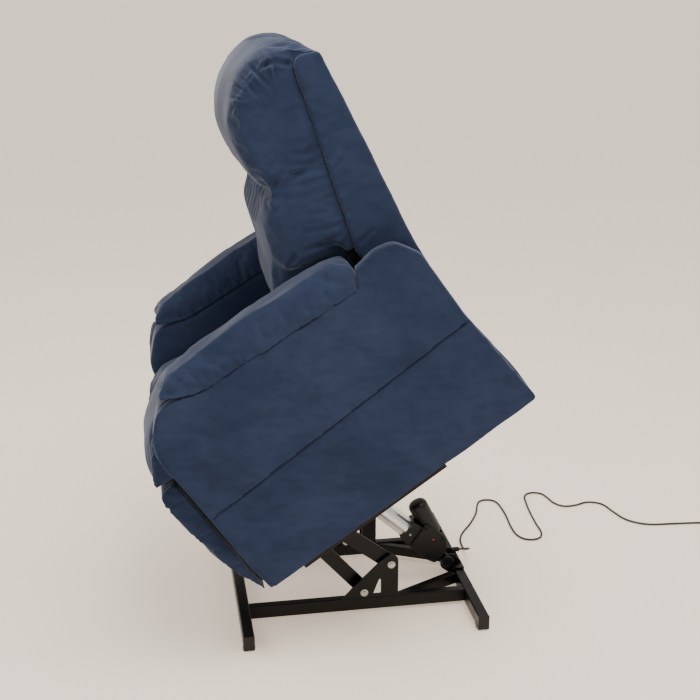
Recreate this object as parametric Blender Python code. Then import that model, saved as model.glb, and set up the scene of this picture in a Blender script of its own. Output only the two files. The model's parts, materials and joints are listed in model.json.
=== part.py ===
"""Powered lift recliner chair, modelled in its raised, tipped-forward position.

Units are metres, +Z up, +X towards the sitter's left, -Y towards the front. The lift base stands on the floor.
The seat body (arms, seat, back, footrest) is modelled upright under one empty, which tips it forward.
"""

import math

import bmesh
import bpy
from mathutils import Matrix, Vector
from mathutils.geometry import interpolate_bezier

# Placing: the origin is on the floor under the centre of the chair's box.
MID_X = 0.01125           # the chair's middle plane
BASE_Y = -0.2458          # centre line of the front crossbar
GAP = 0.0003              # clearance between touching pieces
RUN = 0.0004              # radial clearance of a pivot pin in its hole

# Lift base.
BAR_PITCH = 0.628         # front to rear crossbar, centre to centre
BAR_HALF = 0.322          # half of a crossbar's length over its end caps
BAR_W = 0.030
BAR_Z = (0.008, 0.045)
RAIL_X = (0.147, 0.172)   # inner and outer side of the left rail
RAIL_Z = (0.0085, 0.045)
WALL = 0.002
PLATE = 0.005             # thickness of brackets and links

# Four-bar lift linkage: pivots as (y, z) in the base's frame, and link angles from +Y in the raised pose.
LOWER_PIVOT = (0.330, 0.061)
UPPER_PIVOT = (0.405, 0.140)
LOWER_ANGLE = 131.6
UPPER_ANGLE = 142.4
LOWER_LENGTH = 0.2860
UPPER_LENGTH = 0.3145
LOWER_LINK_X = (0.138, 0.144)
UPPER_LINK_X = (0.154, 0.160)
LINK_HALF = 0.0215
PIN_R = 0.006
OPEN_HOLE_R = 0.0132      # hole of the upper link round the chassis stud

# Actuator: rear pin in the base's frame, front pin in the seat body's frame.
MOTOR_PIVOT = (0.600, 0.058)
ACTUATOR_ANGLE = 139.065
ACTUATOR_LENGTH = 0.5374
DRIVE_PIN = (0.227, 0.083)
MOTOR_END = (0.1719, -0.0724)   # on the motor's axis, in the actuator's frame
MOTOR_TURN = -22.5
MOTOR_R = 0.0283                # of the motor's seat in the gearbox

# Seat body: its bottom front corner in the base's frame, and its tilt.
BODY_Y, BODY_Z, BODY_TILT = 0.0557, 0.2119, 35.0
BODY_DEPTH = 0.820
SIDE_X = (0.350, 0.384)   # outer side panel
ARM_X = (0.247, 0.3497)   # arm box inside the panel
LOWER_EAR = (0.10527, 0.00319)
UPPER_EAR = (0.15085, 0.04083)
EAR_X = (0.1465, 0.1515)
RECLINE_PIVOT = (0.520, 0.200)

# Footrest linkage, closed: pivots as (y, z) in the seat body's frame.
FOOT_PIVOT = (0.030, 0.200)
FOOT_ELBOW = (0.110, 0.040)
FOOT_PANEL = (-0.030, 0.160)

# Cord.
CORD_D = 0.0065
COIL_TURN_R = 0.037

SIDES = (("left", 1), ("right", -1))


# ---------------------------------------------------------------- helpers

def clear_scene():
    for old in list(bpy.data.objects):
        bpy.data.objects.remove(old, do_unlink=True)


def material(name, colour, roughness, metallic=0.0):
    mat = bpy.data.materials.get(name) or bpy.data.materials.new(name)
    mat.use_nodes = True
    shader = mat.node_tree.nodes["Principled BSDF"]
    shader.inputs["Base Color"].default_value = (*colour, 1.0)
    shader.inputs["Roughness"].default_value = roughness
    shader.inputs["Metallic"].default_value = metallic
    mat.diffuse_color = (*colour, 1.0)
    return mat


def empty(name, parent=None, location=(0, 0, 0), turn_x=0.0):
    """An axis marker: its X axis is a joint's axis, and its Y axis is turned turn_x degrees up from +Y."""
    marker = bpy.data.objects.new(name, None)
    bpy.context.scene.collection.objects.link(marker)
    marker.parent = parent
    marker.location = location
    marker.rotation_euler = (math.radians(turn_x), 0, 0)
    return marker


def add(name, bm, mat, parent, smooth=40):
    """Makes an object of a bmesh, its faces pointing out, shaded smooth below the given edge angle."""
    bmesh.ops.recalc_face_normals(bm, faces=bm.faces)
    mesh = bpy.data.meshes.new(name)
    bm.to_mesh(mesh)
    bm.free()
    mesh.materials.append(mat)
    mesh.shade_smooth()
    mesh.set_sharp_from_angle(angle=math.radians(smooth))
    piece = bpy.data.objects.new(name, mesh)
    bpy.context.scene.collection.objects.link(piece)
    piece.parent = parent
    return piece


def fillet(corners, steps=4):
    """Outline of (a, b, radius) corners, each rounded by an arc of its radius."""
    points = []
    count = len(corners)
    for i, (a, b, radius) in enumerate(corners):
        here = Vector((a, b))
        if radius <= 0:
            points.append(here)
            continue
        before = Vector(corners[i - 1][:2]) - here
        after = Vector(corners[(i + 1) % count][:2]) - here
        half = before.angle(after) / 2
        bisector = (before.normalized() + after.normalized()).normalized()
        centre = here + bisector * radius / math.sin(half)
        cut = radius / math.tan(half)
        start = here + before.normalized() * cut - centre
        sweep = start.angle_signed(here + after.normalized() * cut - centre)
        for k in range(steps + 1):
            points.append(centre + Matrix.Rotation(-sweep * k / steps, 2) @ start)
    return points


def capsule(start, end, radius, steps=8, end_radius=None):
    """Outline of a flat bar with round ends, from one (a, b) centre to the other."""
    start, end = Vector(start), Vector(end)
    along = math.atan2(end[1] - start[1], end[0] - start[0])
    points = []
    for centre, r, first in ((end, end_radius or radius, -90), (start, radius, 90)):
        for k in range(steps + 1):
            angle = along + math.radians(first + 180 * k / steps)
            points.append(centre + r * Vector((math.cos(angle), math.sin(angle))))
    return points


def prism(outline, low, high, axis="X"):
    """A bmesh of an outline swept from low to high along an axis. Its points are (y, z), (x, z) or (x, y)."""
    place = {
        "X": lambda p, h: (h, p[0], p[1]),
        "Y": lambda p, h: (p[0], h, p[1]),
        "Z": lambda p, h: (p[0], p[1], h),
    }[axis]
    bm = bmesh.new()
    face = bm.faces.new([bm.verts.new(place(p, low)) for p in outline])
    swept = bmesh.ops.extrude_face_region(bm, geom=[face])
    moved = [v for v in swept["geom"] if isinstance(v, bmesh.types.BMVert)]
    bmesh.ops.translate(bm, verts=moved, vec=Vector(place((0, 0), high)) - Vector(place((0, 0), low)))
    return bm


def box(x, y, z, rounding=0.0, steps=2):
    """A bmesh box from three (low, high) pairs, with all its edges rounded."""
    bm = prism([(y[0], z[0]), (y[1], z[0]), (y[1], z[1]), (y[0], z[1])], x[0], x[1])
    if rounding:
        bmesh.ops.recalc_face_normals(bm, faces=bm.faces)
        bmesh.ops.bevel(bm, geom=bm.edges, offset=rounding, segments=steps, profile=0.5, affect="EDGES")
    return bm


def hollow_bar(width, height, length, axis, centre, radius=0.003):
    """A square tube with open ends and rounded corners, along an axis; centre is its middle."""
    def ring(w, h, r):
        return fillet([(-w, -h, r), (w, -h, r), (w, h, r), (-w, h, r)], 2)

    outer = ring(width / 2, height / 2, radius)
    inner = ring(width / 2 - WALL, height / 2 - WALL, radius / 3)
    turn = {
        "X": Matrix(((0, 0, 1), (1, 0, 0), (0, 1, 0))),
        "Y": Matrix(((1, 0, 0), (0, 0, 1), (0, 1, 0))),
    }[axis]
    bm = bmesh.new()
    loops = []
    for end in (-length / 2, length / 2):
        for outline in (outer, inner):
            loops.append([bm.verts.new(turn @ Vector((*p, end)) + Vector(centre)) for p in outline])
    for a, b in ((0, 2), (1, 3), (0, 1), (2, 3)):
        for i in range(len(outer)):
            j = (i + 1) % len(outer)
            bm.faces.new((loops[a][i], loops[a][j], loops[b][j], loops[b][i]))
    return bm


def turned(profile, at=(0, 0), sides=20, axis="X"):
    """A solid turned about an axis through (y, z) or (x, z) or (x, y). The profile is (along, radius) pairs."""
    bm = bmesh.new()
    rings = []
    for along, radius in profile:
        ring = []
        for k in range(sides):
            angle = 2 * math.pi * (k + 0.5) / sides
            a, b = at[0] + radius * math.cos(angle), at[1] + radius * math.sin(angle)
            point = {"X": (along, a, b), "Y": (a, along, b), "Z": (a, b, along)}[axis]
            ring.append(bm.verts.new(point))
        rings.append(ring)
    for low, high in zip(rings, rings[1:]):
        for k in range(sides):
            j = (k + 1) % sides
            bm.faces.new((low[k], low[j], high[j], high[k]))
    bm.faces.new(rings[0])
    bm.faces.new(rings[-1])
    return bm


def rod(low, high, radius, at=(0, 0), sides=20, axis="X"):
    return turned([(low, radius), (high, radius)], at, sides, axis)


def apply(piece, tool_bm, operation):
    """Joins a solid to a piece, or cuts it out, with a Boolean whose tool stays as a wire guide."""
    index = len(piece.modifiers)
    tool = add(f"{piece.name}_{operation.lower()}_{index}", tool_bm, piece.data.materials[0], piece.parent)
    tool.display_type = "WIRE"
    tool.hide_render = True
    cut = piece.modifiers.new(f"{operation.title()} {index}", "BOOLEAN")
    cut.operation = operation
    cut.solver = "EXACT"
    cut.object = tool
    return piece


def join(piece, *tools):
    for tool in tools:
        apply(piece, tool, "UNION")
    return piece


def cut(piece, *tools):
    for tool in tools:
        apply(piece, tool, "DIFFERENCE")
    return piece


def span(pair, side):
    """An (inner, outer) pair of X values on the given side, lowest first."""
    return tuple(sorted(side * x for x in pair))


# ---------------------------------------------------------------- materials

STEEL = material("black_painted_steel", (0.012, 0.012, 0.013), 0.42, 0.3)
ZINC = material("zinc_plated_steel", (0.62, 0.62, 0.60), 0.30, 1.0)
ALUMINIUM = material("brushed_aluminium", (0.60, 0.61, 0.62), 0.35, 1.0)
PLASTIC = material("black_plastic", (0.015, 0.015, 0.016), 0.45)
BUTTON = material("grey_plastic", (0.45, 0.46, 0.48), 0.45)
CORD = material("cord_rubber", (0.02, 0.02, 0.02), 0.55)
FABRIC = material("navy_microfibre", (0.022, 0.045, 0.105), 0.85)
BOARD = material("black_lined_board", (0.016, 0.016, 0.018), 0.80)


# ---------------------------------------------------------------- lift base

def crossbars(base):
    tube_half = BAR_HALF - 0.0035
    height = BAR_Z[1] - BAR_Z[0]
    for name, y in (("front", 0.0), ("rear", BAR_PITCH)):
        bar = hollow_bar(BAR_W, height, 2 * tube_half, "X", (0, y, sum(BAR_Z) / 2))
        add(f"crossbar_{name}", bar, STEEL, base)
        for side_name, side in SIDES:
            foot(f"foot_{name}_{side_name}", y, side, tube_half, base)


def foot(name, y, side, tube_half, base):
    """End cap of a crossbar: a plate, a plug inside the tube, and a glide under it."""
    half = BAR_W / 2
    outline = [
        (side * (tube_half + GAP), 0.0045),
        (side * (tube_half + GAP), BAR_Z[1]),
        (side * BAR_HALF, BAR_Z[1]),
        (side * BAR_HALF, 0.0045),
    ]
    cap = add(name, prism(outline, y - half, y + half, "Y"), PLASTIC, base)
    strip = box(span((tube_half - 0.034, BAR_HALF - 0.001), side), (y - half + 0.001, y + half - 0.001),
                (0.0042, BAR_Z[0] - GAP))
    plug_half = half - WALL - 0.0006
    plug = box(span((tube_half - 0.014, tube_half + 0.001), side), (y - plug_half, y + plug_half),
               (BAR_Z[0] + WALL + 0.0006, BAR_Z[1] - WALL - 0.0006))
    glide = turned([(0.0, 0.0105), (0.0015, 0.0125), (0.0050, 0.0125)], (side * (tube_half - 0.014), y), 20, "Z")
    join(cap, strip, plug, glide)


def rails(base):
    """The two long rails between the crossbars, and a diagonal brace from each to the rear crossbar."""
    start, end = BAR_W / 2 + GAP, BAR_PITCH - BAR_W / 2 - GAP
    width, height = RAIL_X[1] - RAIL_X[0], RAIL_Z[1] - RAIL_Z[0]
    for name, side in SIDES:
        centre = (side * sum(RAIL_X) / 2, (start + end) / 2, sum(RAIL_Z) / 2)
        add(f"rail_{name}", hollow_bar(width, height, end - start, "Y", centre), STEEL, base)
        inner = RAIL_X[0] - GAP
        outline = [
            (side * inner, 0.425),
            (side * inner, 0.458),
            (side * 0.076, end),
            (side * 0.050, end),
        ]
        add(f"brace_{name}", prism(outline, 0.0125, 0.0415, "Z"), STEEL, base)


def lift_brackets(base):
    """The welded stand on each rail that carries both links: an A-shaped outer plate and a channel behind it."""
    low = RAIL_Z[1] + GAP
    lower, upper = LOWER_PIVOT, UPPER_PIVOT
    outer = fillet([
        (0.268, low, 0), (0.4245, low, 0), (0.4245, 0.166, 0.018), (0.398, 0.170, 0.020),
        (0.372, 0.150, 0.030), (0.300, 0.080, 0.016),
    ])
    inner = fillet([(0.381, low, 0), (0.423, low, 0), (0.423, 0.164, 0.020), (0.383, 0.164, 0.020)])
    window = fillet([(0.354, 0.054, 0.003), (0.3765, 0.054, 0.003), (0.3765, 0.113, 0.003)], 2)
    for name, side in SIDES:
        plate_x = (RAIL_X[1] - PLATE, RAIL_X[1])
        wall_x = (RAIL_X[0], RAIL_X[0] + PLATE)
        stand = add(f"lift_bracket_{name}", prism(outer, *span(plate_x, side)), STEEL, base)
        across = span((wall_x[1] - 0.001, plate_x[0] + 0.001), side)
        join(
            stand,
            box(across, (0.4185, 0.4235), (low, 0.110)),
            prism(inner, *span(wall_x, side)),
            box(across, (0.381, 0.386), (low, 0.106)),
        )
        hole = PIN_R + RUN
        cut(
            stand,
            rod(*span((0.14, 0.18), side), hole, lower),
            rod(*span((0.14, 0.18), side), hole, upper),
            prism(window, *span((0.160, 0.180), side)),
        )


def base_bolts(base):
    """The four shoulder bolts on which the links turn, with their heads outside and nuts inside."""
    outside = RAIL_X[1] + GAP
    for level, pivot, nut in (("lower", LOWER_PIVOT, LOWER_LINK_X[0]), ("upper", UPPER_PIVOT, RAIL_X[0])):
        profile = [
            (nut - 0.0055, 0.0095), (nut - GAP, 0.0095), (nut - GAP, PIN_R), (outside, PIN_R),
            (outside, 0.0095), (outside + 0.0012, 0.0095), (outside + 0.0012, 0.0072), (outside + 0.0055, 0.0068),
        ]
        for name, side in SIDES:
            bolt = turned([(side * x, r) for x, r in profile], pivot)
            add(f"{level}_base_bolt_{name}", bolt, ZINC, base, 30)


def motor_mount(base):
    """The clevis on the rear crossbar that holds the actuator and the cord's sleeve, and its pin."""
    y, z = MOTOR_PIVOT
    bar_front = BAR_PITCH - BAR_W / 2 - GAP
    bar_top = BAR_Z[1] + GAP
    bar_rear = BAR_PITCH + BAR_W / 2
    ear = fillet([
        (0.581, 0.039, 0.018), (bar_front, 0.014, 0.0), (bar_front, bar_top, 0.0), (bar_rear, bar_top, 0.0),
        (bar_rear, bar_top + PLATE, 0.0), (0.622, 0.077, 0.012), (0.581, 0.077, 0.018),
    ])
    inner, outer = 0.0175, 0.0225
    clevis = add("motor_clevis", box((-0.056, 0.056), (bar_front, bar_rear), (bar_top, bar_top + PLATE)), STEEL, base)
    for _, side in SIDES:
        join(clevis, prism(ear, *span((inner, outer), side)))
    sleeve = [(bar_front + 0.004, 0.0072), (bar_rear + 0.008, 0.0072), (bar_rear + 0.0112, 0.0050)]
    join(clevis, turned(sleeve, (CORD_DROP[0][0], CORD_DROP[0][2]), 16, "Y"))
    cut(clevis, rod(-0.03, 0.03, 0.005 + RUN, (y, z)))
    pin = [(-0.0275, 0.0085), (-outer - GAP, 0.0085), (-outer - GAP, 0.005), (outer + GAP, 0.005),
           (outer + GAP, 0.0085), (0.0275, 0.0085)]
    add("motor_pin", turned(pin, (y, z)), ZINC, base, 30)


# ---------------------------------------------------------------- links

def lift_links(base):
    lower = empty("lower_link_axis", base, (0, *LOWER_PIVOT), LOWER_ANGLE)
    upper = empty("upper_link_axis", base, (0, *UPPER_PIVOT), UPPER_ANGLE)
    hole = PIN_R + RUN
    cross_at = 0.200
    for name, side in SIDES:
        bar = capsule((0, 0), (LOWER_LENGTH, 0), LINK_HALF * 0.9)
        link = add(f"lower_link_{name}", prism(bar, *span(LOWER_LINK_X, side)), STEEL, lower)
        cut(link, *(rod(*span((0.13, 0.15), side), hole, (y, 0)) for y in (0, LOWER_LENGTH)))
        bar = capsule((0, 0), (UPPER_LENGTH, 0), LINK_HALF)
        link = add(f"upper_link_{name}", prism(bar, *span(UPPER_LINK_X, side)), STEEL, upper)
        cut(
            link,
            rod(*span((0.15, 0.17), side), hole, (0, 0)),
            rod(*span((0.15, 0.17), side), OPEN_HOLE_R, (UPPER_LENGTH, 0)),
        )
    reach = LOWER_LINK_X[0] - GAP
    add("lower_cross_tube", rod(-reach, reach, 0.011, (cross_at, 0), 16), STEEL, lower)


# ---------------------------------------------------------------- seat body: steel

def chassis(body):
    """The steel under the seat: rails, cross members, the ears on the links and the actuator's clevis."""
    between = ARM_X[0] - GAP
    for name, side in SIDES:
        angle_bar = [
            (side * 0.318, -0.0035), (side * 0.318, -GAP), (side * 0.366, -GAP), (side * 0.366, -0.016),
            (side * 0.363, -0.016), (side * 0.363, -0.0035),
        ]
        add(f"chassis_rail_{name}", prism(angle_bar, 0.098, 0.536, "Y"), STEEL, body)
        ear_plate(name, side, body)
    add("cross_member_front", hollow_bar(0.025, 0.025, 2 * between, "X", (0, 0.1675, 0.0875)), STEEL, body)
    tube_at = (0.208, 0.128)
    tube = add("drive_tube", rod(-between, between, 0.0125, tube_at, 20), STEEL, body)
    lug = capsule(DRIVE_PIN, (0.212, 0.122), 0.013)
    for _, side in SIDES:
        join(tube, prism(lug, *span((0.0175, 0.0225), side)))
    shaft = [(-between, 0.008), (between, 0.008)]
    add("footrest_shaft", turned(shaft, FOOT_PIVOT, 16), STEEL, body)
    reach = SIDE_X[0] - GAP
    add("rear_rail", box((-reach, reach), (0.798, 0.818), (0.004, 0.084)), FABRIC, body)


def ear_plate(name, side, body):
    """Hangs under the front cross member, with one stud for each lift link."""
    top = 0.075 - GAP
    outline = fillet([
        (0.086, -0.016, 0.014), (0.122, -0.016, 0.014), (0.172, 0.030, 0.016), (0.182, top, 0.0),
        (0.150, top, 0.0), (0.090, 0.026, 0.018),
    ])
    plate = add(f"lift_ear_{name}", prism(outline, *span(EAR_X, side)), STEEL, body)
    inner = [(EAR_X[0] + 0.001, PIN_R), (LOWER_LINK_X[0] - GAP, PIN_R), (LOWER_LINK_X[0] - GAP, 0.0095),
             (LOWER_LINK_X[0] - 0.005, 0.0095)]
    outer = [(EAR_X[1] - 0.001, PIN_R), (UPPER_LINK_X[1] + GAP, PIN_R), (UPPER_LINK_X[1] + GAP, 0.018),
             (UPPER_LINK_X[1] + 0.004, 0.018)]
    join(
        plate,
        turned([(side * x, r) for x, r in inner], LOWER_EAR),
        turned([(side * x, r) for x, r in outer], UPPER_EAR),
    )


# ---------------------------------------------------------------- seat body: upholstery

def arms(body):
    side_outline = fillet([
        (0.0, 0.0, 0.012), (BODY_DEPTH, 0.0, 0.006), (0.789, 0.30, 0.0), (0.7885, 0.480, 0.050),
        (0.752, 0.545, 0.040), (0.700, 0.557, 0.030), (0.6415, 0.5475, 0.003), (0.6165, 0.500, 0.0),
        (0.175, 0.526, 0.0), (0.080, 0.562, 0.060), (-0.012, 0.470, 0.090), (0.0, 0.330, 0.0),
    ])
    box_outline = fillet([
        (0.0, 0.0, 0.008), (0.610, 0.0, 0.004), (0.620, 0.499, 0.004), (0.175, 0.526, 0.0),
        (0.080, 0.562, 0.060), (-0.012, 0.470, 0.090), (0.0, 0.330, 0.0),
    ])
    pad_outline = fillet([
        (0.162, 0.5335, 0.020), (0.190, 0.5268, 0.0), (0.6145, 0.5016, 0.004), (0.6390, 0.550, 0.006),
        (0.6350, 0.569, 0.012), (0.380, 0.590, 0.0), (0.104, 0.588, 0.018), (0.082, 0.572, 0.008),
        (0.096, 0.5625, 0.006),
    ])
    for name, side in SIDES:
        add(f"side_panel_{name}", prism(side_outline, *span(SIDE_X, side)), FABRIC, body)
        add(f"arm_box_{name}", prism(box_outline, *span(ARM_X, side)), FABRIC, body)
        pad = prism(pad_outline, *span((0.243, 0.388), side))
        add(f"arm_pad_{name}", pad, FABRIC, body)


def seat(body):
    between = ARM_X[0] - GAP
    add("seat_deck", box((-between, between), (0.0, 0.470), (0.235, 0.250)), BOARD, body)
    outline = fillet([
        (-0.004, 0.2505, 0.006), (0.440, 0.2505, 0.010), (0.436, 0.430, 0.030), (0.10, 0.456, 0.060),
        (-0.026, 0.464, 0.050), (-0.096, 0.366, 0.030), (-0.106, 0.334, 0.010), (-0.004, 0.332, 0.010),
    ])
    add("seat_cushion", prism(outline, -0.243, 0.243), FABRIC, body)


def backrest(body):
    """Everything that reclines, upright, about the pins at the bottom of its frame."""
    axis = empty("recline_axis", body, (0, *RECLINE_PIVOT))

    def local(points):
        return [(y - RECLINE_PIVOT[0], z - RECLINE_PIVOT[1], *rest) for y, z, *rest in points]

    frame_outline = fillet(local([
        (0.500, 0.182, 0.014), (0.540, 0.182, 0.014), (0.664, 0.320, 0.004), (0.664, 0.540, 0.0),
        (0.7855, 0.955, 0.004), (0.772, 0.958, 0.004), (0.6450, 0.545, 0.0), (0.646, 0.325, 0.004),
        (0.500, 0.225, 0.010),
    ]))
    frame = add("back_frame", prism(frame_outline, -0.236, 0.236), BOARD, axis)
    join(frame, rod(-ARM_X[0] + GAP, ARM_X[0] - GAP, 0.009, (0, 0), 16))
    cover = fillet(local([
        (0.6665, 0.262, 0.010), (0.785, 0.250, 0.012), (0.796, 0.470, 0.0), (0.868, 0.984, 0.014),
        (0.815, 1.006, 0.020), (0.7965, 0.985, 0.0), (0.6668, 0.542, 0.0),
    ]))
    add("back_cover", prism(cover, -0.283, 0.283), FABRIC, axis)
    lumbar_low = fillet(local([
        (0.475, 0.272, 0.020), (0.6430, 0.3300, 0.006), (0.6430, 0.5450, 0.0), (0.6640, 0.6200, 0.0),
        (0.470, 0.620, 0.010), (0.436, 0.560, 0.040), (0.430, 0.440, 0.060),
    ]))
    lumbar_high = fillet(local([
        (0.470, 0.598, 0.020), (0.6510, 0.5800, 0.0), (0.7140, 0.7850, 0.004), (0.5665, 0.785, 0.030),
        (0.514, 0.738, 0.040),
    ]))
    head_outline = fillet(local([
        (0.5665, 0.7880, 0.030), (0.7155, 0.7880, 0.004), (0.7680, 0.9640, 0.0), (0.7915, 0.9893, 0.0),
        (0.8150, 1.0095, 0.0), (0.8620, 0.9905, 0.003), (0.8590, 1.0120, 0.014), (0.8120, 1.0540, 0.030),
        (0.7630, 1.0670, 0.040), (0.6900, 1.0570, 0.060), (0.6280, 1.0240, 0.060), (0.5820, 0.9620, 0.060),
        (0.5630, 0.8800, 0.060),
    ]))
    cheeks_low = local([(0.6410, 0.5530), (0.6688, 0.5530), (0.7366, 0.7850), (0.7000, 0.7850), (0.6450, 0.6000)])
    cheeks_high = local([(0.7000, 0.7880), (0.7376, 0.7880), (0.7936, 0.9800), (0.7600, 0.9700)])
    lumbar = add("lumbar_cushion", prism(lumbar_low, -0.240, 0.240), FABRIC, axis)
    join(lumbar, prism(lumbar_high, -0.276, 0.276))
    head = add("head_cushion", prism(head_outline, -0.276, 0.276), FABRIC, axis)
    for _, side in SIDES:
        join(lumbar, prism(cheeks_low, *span((0.2380, 0.2760), side)))
        join(head, prism(cheeks_high, *span((0.2380, 0.2760), side)))


# ---------------------------------------------------------------- footrest

def direction(start, end):
    """Length and angle in degrees from one (y, z) point to another."""
    step = Vector(end) - Vector(start)
    return step.length, math.degrees(math.atan2(step[1], step[0]))


def footrest(body):
    arm_length, arm_angle = direction(FOOT_PIVOT, FOOT_ELBOW)
    link_length, link_angle = direction(FOOT_ELBOW, FOOT_PANEL)
    arm_axis = empty("footrest_arm_axis", body, (0, *FOOT_PIVOT), arm_angle)
    link_axis = empty("footrest_link_axis", arm_axis, (0, arm_length, 0), link_angle - arm_angle)
    panel_axis = empty("footrest_panel_axis", link_axis, (0, link_length, 0), -link_angle)
    arm_x, link_x = (0.206, 0.211), (0.213, 0.218)
    stud = 0.005
    for name, side in SIDES:
        arm = add(f"footrest_arm_{name}", prism(capsule((0, 0), (arm_length, 0), 0.0135), *span(arm_x, side)),
                  STEEL, arm_axis)
        cut(arm, rod(*span((0.20, 0.22), side), 0.008 + RUN, (0, 0)))
        profile = [(0.208, stud), (link_x[1] + GAP, stud), (link_x[1] + GAP, 0.008), (0.2215, 0.008)]
        join(arm, turned([(side * x, r) for x, r in profile], (arm_length, 0)))
        link = add(f"footrest_link_{name}", prism(capsule((0, 0), (link_length, 0), 0.0125), *span(link_x, side)),
                   STEEL, link_axis)
        cut(link, *(rod(*span((0.20, 0.23), side), stud + RUN, (y, 0)) for y in (0, link_length)))
    footrest_panel(panel_axis, arm_x, link_x, stud)


def footrest_panel(axis, ear_x, link_x, stud):
    """The board with its two hinge ears, and the pad on its front."""
    y, z = FOOT_PANEL
    back, front = -0.0365 - y, -0.0460 - y
    board = add("footrest_board", box((-0.2115, 0.2115), (front, back), (-0.050 - z, 0.308 - z)), BOARD, axis)
    ear = fillet([(back - 0.003, -0.016, 0), (-0.002, -0.016, 0.010), (0.012, 0.0, 0.010), (-0.002, 0.016, 0.010),
                  (back - 0.003, 0.016, 0)])
    for _, side in SIDES:
        profile = [(ear_x[1] - 0.001, stud), (link_x[1] + GAP, stud), (link_x[1] + GAP, 0.008), (0.2215, 0.008)]
        join(board, prism(ear, *span(ear_x, side)), turned([(side * x, r) for x, r in profile]))
    pad = fillet([
        (-0.0463 - y, -0.068 - z, 0.0), (-0.0463 - y, 0.322 - z, 0.010), (-0.106 - y, 0.324 - z, 0.022),
        (-0.1085 - y, 0.250 - z, 0.080), (-0.102 - y, 0.150 - z, 0.100), (-0.085 - y, 0.025 - z, 0.060),
        (-0.052 - y, -0.066 - z, 0.006),
    ])
    add("footrest_pad", prism(pad, -0.236, 0.236), FABRIC, axis)


# ---------------------------------------------------------------- actuator

def actuator(base):
    """Y runs from the rear pin towards the front pin, and the motor sits on the side of negative Z."""
    axis = empty("actuator_axis", base, (0, *MOTOR_PIVOT), ACTUATOR_ANGLE)
    body_outline = fillet([
        (0.028, -0.028, 0.012), (0.056, -0.0525, 0.010), (0.0720, -0.0575, 0.006), (0.1330, -0.0510, 0.004),
        (0.1250, 0.0300, 0.004), (0.060, 0.0320, 0.014), (0.028, 0.0240, 0.010),
    ])
    collar = fillet([(0.118, -0.0380, 0.0), (0.1600, -0.0340, 0.005), (0.1600, 0.0290, 0.005), (0.118, 0.0295, 0.0)])
    gearbox = add("gearbox", prism(body_outline, -0.033, 0.033), PLASTIC, axis)
    join(gearbox, prism(collar, -0.0285, 0.0285))
    join(gearbox, prism(capsule((0, 0), (0.045, 0), 0.0125), -0.0170, 0.0170))
    cut(gearbox, rod(-0.03, 0.03, 0.005 + RUN, (0, 0)))
    motor_axis = empty("motor_axis", axis, (0, *MOTOR_END), MOTOR_TURN)
    bore = prism([(y, z) for y, z in capsule((-0.098, 0), (0.1, 0), MOTOR_R)], -MOTOR_R, MOTOR_R)
    bore.transform(motor_axis.matrix_basis)
    cut(gearbox, bore)
    case_r = MOTOR_R - GAP
    case = [(-0.094, 0.008), (-0.092, case_r - 0.002), (-0.088, case_r), (0.003, case_r), (0.010, case_r - 0.002),
            (0.0145, case_r - 0.006), (0.017, case_r - 0.012), (0.018, 0.006)]
    add("motor_housing", turned(case, (0, 0), 28, "Y"), PLASTIC, motor_axis)
    tube_start, tube_end = 0.160 + GAP, 0.418
    tube = add("actuator_tube", rod(tube_start, tube_end, 0.0252, (0, 0), 28, "Y"), ALUMINIUM, axis)
    rail = box((-0.008, 0.008), (tube_start, tube_end), (-0.0290, -0.0205))
    join(tube, rail)
    cut(tube, rod(tube_start - 0.01, tube_end + 0.01, 0.0140, (0, 0), 24, "Y"))
    slider = empty("rod_axis", axis)
    piston = add("actuator_rod", rod(0.272, ACTUATOR_LENGTH - 0.010, 0.0115, (0, 0), 20, "Y"), ZINC, slider)
    join(piston, rod(-0.0155, 0.0155, 0.0135, (ACTUATOR_LENGTH, 0), 20))


# ---------------------------------------------------------------- hand control

def hand_control(body):
    """The handset in its pocket on the outside of the right arm, buttons facing out."""
    outside = -SIDE_X[1]
    back, front = outside - 0.0025, outside - 0.0235
    handset = add("handset", box((front, back), (0.300, 0.352), (0.308, 0.452), 0.005), PLASTIC, body)
    for name, z in (("button_raise", 0.4265), ("button_lower", 0.3985)):
        recess = box((front - 0.01, front + 0.004), (0.3135, 0.3385), (z - 0.0095, z + 0.0095))
        cut(handset, recess)
        cap = box((front - 0.0015, front + 0.0020), (0.3141, 0.3379), (z - 0.0089, z + 0.0089), 0.0008, 1)
        add(name, cap, BUTTON, body)
    pouch = add("handset_pocket", box((front - 0.0030, outside - GAP), (0.291, 0.361), (0.292, 0.372)), FABRIC, body)
    cut(pouch, box((front - 0.0006, outside - 0.0018), (0.2965, 0.3555), (0.3040, 0.40)))


# ---------------------------------------------------------------- cord

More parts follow.
